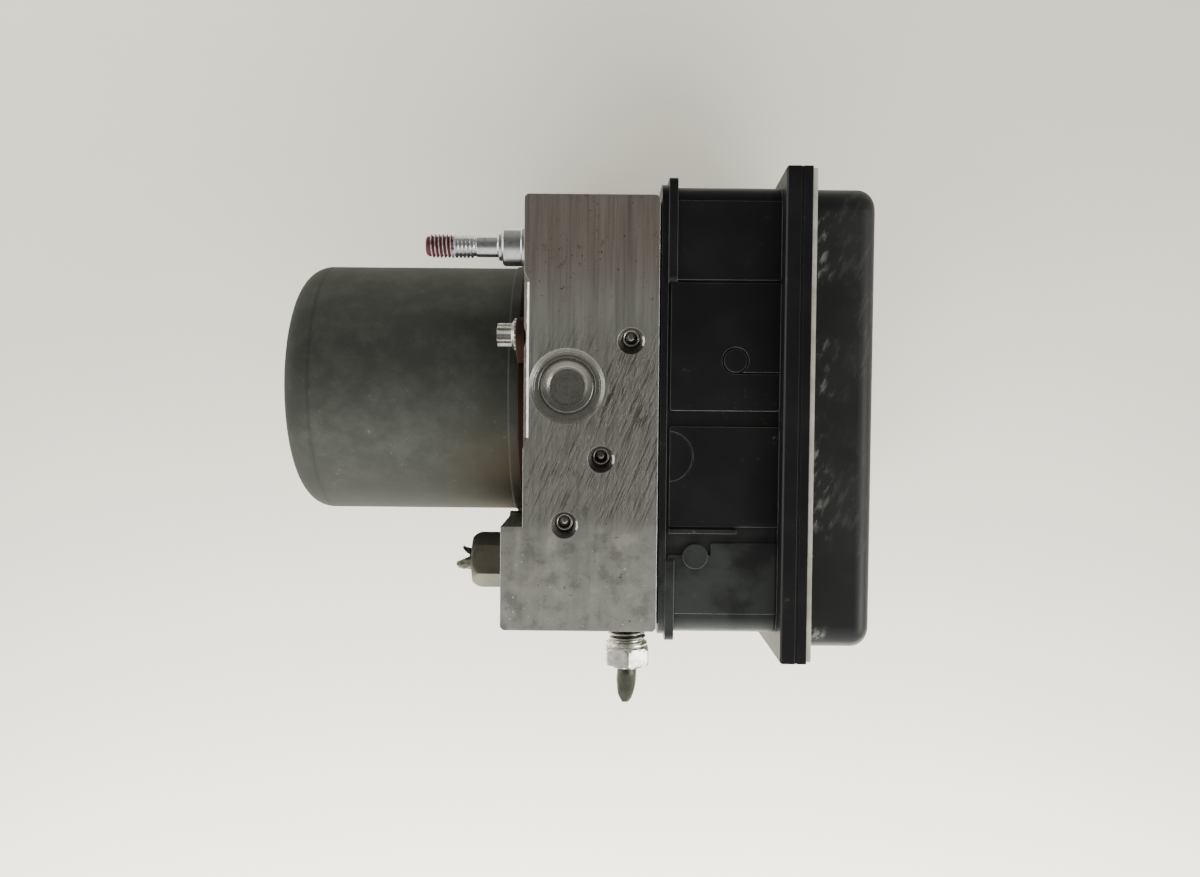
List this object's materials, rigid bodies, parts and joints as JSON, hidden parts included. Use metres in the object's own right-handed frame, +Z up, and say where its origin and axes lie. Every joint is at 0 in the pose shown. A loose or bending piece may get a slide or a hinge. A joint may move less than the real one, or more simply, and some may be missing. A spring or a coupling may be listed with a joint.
{
  "type": "abs brake module",
  "caption": "Brake hydraulic unit with a round pump motor, a machined valve block, a black control unit with a plug shroud, mounting studs and torn-off brake pipe ends.",
  "frame": {"origin": "on the valve block's motor face, midway between the two mounting studs", "axes": "+X from the motor to the control unit, along the motor axis; +Y across the block, away from the wheel ports; +Z up as the unit lies on its connector side"},
  "size_m": [0.1581, 0.1378, 0.1414],
  "materials": {
    "block_aluminium": "milled, greyed by use",
    "can_steel": "dark plated sheet steel, mottled",
    "bright_zinc": "bright zinc",
    "dark_nut_steel": "dark corroded steel",
    "pipe_steel": "coated pipe, torn",
    "ball_steel": "pressed-in steel plugs",
    "housing_plastic": "black, scuffed",
    "cover_plastic": "black, fine moulded grain",
    "pale_seal": "pale, dusty",
    "seal_rubber": "black rubber",
    "shaft_steel": "ground steel",
    "spring_steel": "spring wire",
    "core_steel": "stacked sheet steel",
    "copper_wire": "copper",
    "bronze_bush": "sintered bronze",
    "magnet_ferrite": "ferrite",
    "brush_carbon": "carbon",
    "valve_steel": "turned steel",
    "coil_steel": "plated coil cans",
    "board_green": "coated board",
    "inner_plastic": "moulded brush plate"
  },
  "bodies": {
    "hydraulic_unit": {"valve_block": "block_aluminium", "motor_can": "can_steel", "motor_screws": "bright_zinc", "motor_seal": "seal_rubber", "magnet_1": "magnet_ferrite", "magnet_2": "magnet_ferrite", "rear_bush": "bronze_bush", "brush_plate": "inner_plastic", "front_bearing": "shaft_steel", "motor_terminals": "copper_wire", "pump_plug_1": "block_aluminium", "pump_plug_2": "block_aluminium", "pump_spring_1": "spring_steel", "pump_spring_2": "spring_steel", "accumulator_cap_1": "block_aluminium", "accumulator_cap_2": "block_aluminium", "accumulator_spring_1": "spring_steel", "accumulator_spring_2": "spring_steel", "ball_plugs": "ball_steel", "inlet_valve_1": "valve_steel", "inlet_valve_2": "valve_steel", "inlet_valve_3": "valve_steel", "inlet_valve_4": "valve_steel", "outlet_valve_1": "valve_steel", "outlet_valve_2": "valve_steel", "outlet_valve_3": "valve_steel", "outlet_valve_4": "valve_steel", "mounting_studs": "bright_zinc", "inlet_pipe_nut": "dark_nut_steel", "inlet_pipe_stub": "pipe_steel", "outlet_pipe_nut": "bright_zinc", "outlet_pipe_stub": "pipe_steel", "ecu_housing": "housing_plastic", "housing_gasket": "seal_rubber", "valve_coils": "coil_steel", "circuit_board": "board_green", "connector_pins": "copper_wire", "cover_seal": "pale_seal", "ecu_cover": "cover_plastic", "ecu_screws": "bright_zinc"},
    "rotor": {"motor_shaft": "shaft_steel", "armature_core": "core_steel", "armature_winding": "copper_wire", "commutator": "copper_wire"},
    "eccentric": {"eccentric_ring": "shaft_steel"},
    "pump_piston_1": {"pump_piston_1": "shaft_steel"},
    "pump_piston_2": {"pump_piston_2": "shaft_steel"},
    "accumulator_piston_1": {"accumulator_piston_1": "shaft_steel"},
    "accumulator_piston_2": {"accumulator_piston_2": "shaft_steel"},
    "brush_1": {"brush_1": "brush_carbon"},
    "brush_2": {"brush_2": "brush_carbon"},
    "inlet_plunger_1": {"inlet_plunger_1": "valve_steel"},
    "inlet_plunger_2": {"inlet_plunger_2": "valve_steel"},
    "inlet_plunger_3": {"inlet_plunger_3": "valve_steel"},
    "inlet_plunger_4": {"inlet_plunger_4": "valve_steel"},
    "outlet_plunger_1": {"outlet_plunger_1": "valve_steel"},
    "outlet_plunger_2": {"outlet_plunger_2": "valve_steel"},
    "outlet_plunger_3": {"outlet_plunger_3": "valve_steel"},
    "outlet_plunger_4": {"outlet_plunger_4": "valve_steel"}
  },
  "joints": [
    {"name": "motor_spin", "type": "hinge", "parent": "hydraulic_unit", "child": "rotor", "pos_m": [0, -0.036, 0], "axis": [1, 0, 0], "continuous": true},
    {"name": "eccentric_roll", "type": "hinge", "parent": "rotor", "child": "eccentric", "pos_m": [0.011, -0.0352, 0], "axis": [1, 0, 0], "continuous": true},
    {"name": "pump_stroke_1", "type": "slide", "parent": "hydraulic_unit", "child": "pump_piston_1", "axis": [0, 0, 1], "range_m": [0, 0.0016], "stiffness_N_per_m": 1500, "springref_m": -0.002, "deforming": ["pump_spring_1"]},
    {"name": "pump_stroke_2", "type": "slide", "parent": "hydraulic_unit", "child": "pump_piston_2", "axis": [0, 0, -1], "range_m": [0, 0.0016], "stiffness_N_per_m": 1500, "springref_m": -0.002, "deforming": ["pump_spring_2"]},
    {"name": "accumulator_fill_1", "type": "slide", "parent": "hydraulic_unit", "child": "accumulator_piston_1", "axis": [0, 1, 0], "range_m": [0, 0.008], "stiffness_N_per_m": 800, "springref_m": -0.004, "deforming": ["accumulator_spring_1"]},
    {"name": "accumulator_fill_2", "type": "slide", "parent": "hydraulic_unit", "child": "accumulator_piston_2", "axis": [0, 1, 0], "range_m": [0, 0.008], "stiffness_N_per_m": 800, "springref_m": -0.004, "deforming": ["accumulator_spring_2"]},
    {"name": "brush_feed_1", "type": "slide", "parent": "hydraulic_unit", "child": "brush_1", "axis": [0, 1, 0], "range_m": [0, 0.003], "stiffness_N_per_m": 150, "springref_m": -0.004},
    {"name": "brush_feed_2", "type": "slide", "parent": "hydraulic_unit", "child": "brush_2", "axis": [0, -1, 0], "range_m": [0, 0.003], "stiffness_N_per_m": 150, "springref_m": -0.004},
    {"name": "inlet_lift_1", "type": "slide", "parent": "hydraulic_unit", "child": "inlet_plunger_1", "axis": [-1, 0, 0], "range_m": [0, 0.0004], "stiffness_N_per_m": 500, "springref_m": -0.001},
    {"name": "inlet_lift_2", "type": "slide", "parent": "hydraulic_unit", "child": "inlet_plunger_2", "axis": [-1, 0, 0], "range_m": [0, 0.0004], "stiffness_N_per_m": 500, "springref_m": -0.001},
    {"name": "inlet_lift_3", "type": "slide", "parent": "hydraulic_unit", "child": "inlet_plunger_3", "axis": [-1, 0, 0], "range_m": [0, 0.0004], "stiffness_N_per_m": 500, "springref_m": -0.001},
    {"name": "inlet_lift_4", "type": "slide", "parent": "hydraulic_unit", "child": "inlet_plunger_4", "axis": [-1, 0, 0], "range_m": [0, 0.0004], "stiffness_N_per_m": 500, "springref_m": -0.001},
    {"name": "outlet_lift_1", "type": "slide", "parent": "hydraulic_unit", "child": "outlet_plunger_1", "axis": [1, 0, 0], "range_m": [0, 0.0004], "stiffness_N_per_m": 500, "springref_m": -0.001},
    {"name": "outlet_lift_2", "type": "slide", "parent": "hydraulic_unit", "child": "outlet_plunger_2", "axis": [1, 0, 0], "range_m": [0, 0.0004], "stiffness_N_per_m": 500, "springref_m": -0.001},
    {"name": "outlet_lift_3", "type": "slide", "parent": "hydraulic_unit", "child": "outlet_plunger_3", "axis": [1, 0, 0], "range_m": [0, 0.0004], "stiffness_N_per_m": 500, "springref_m": -0.001},
    {"name": "outlet_lift_4", "type": "slide", "parent": "hydraulic_unit", "child": "outlet_plunger_4", "axis": [1, 0, 0], "range_m": [0, 0.0004], "stiffness_N_per_m": 500, "springref_m": -0.001}
  ],
  "couplings": [
    {"joint": "eccentric_roll", "follows": "motor_spin", "ratio": -1}
  ]
}
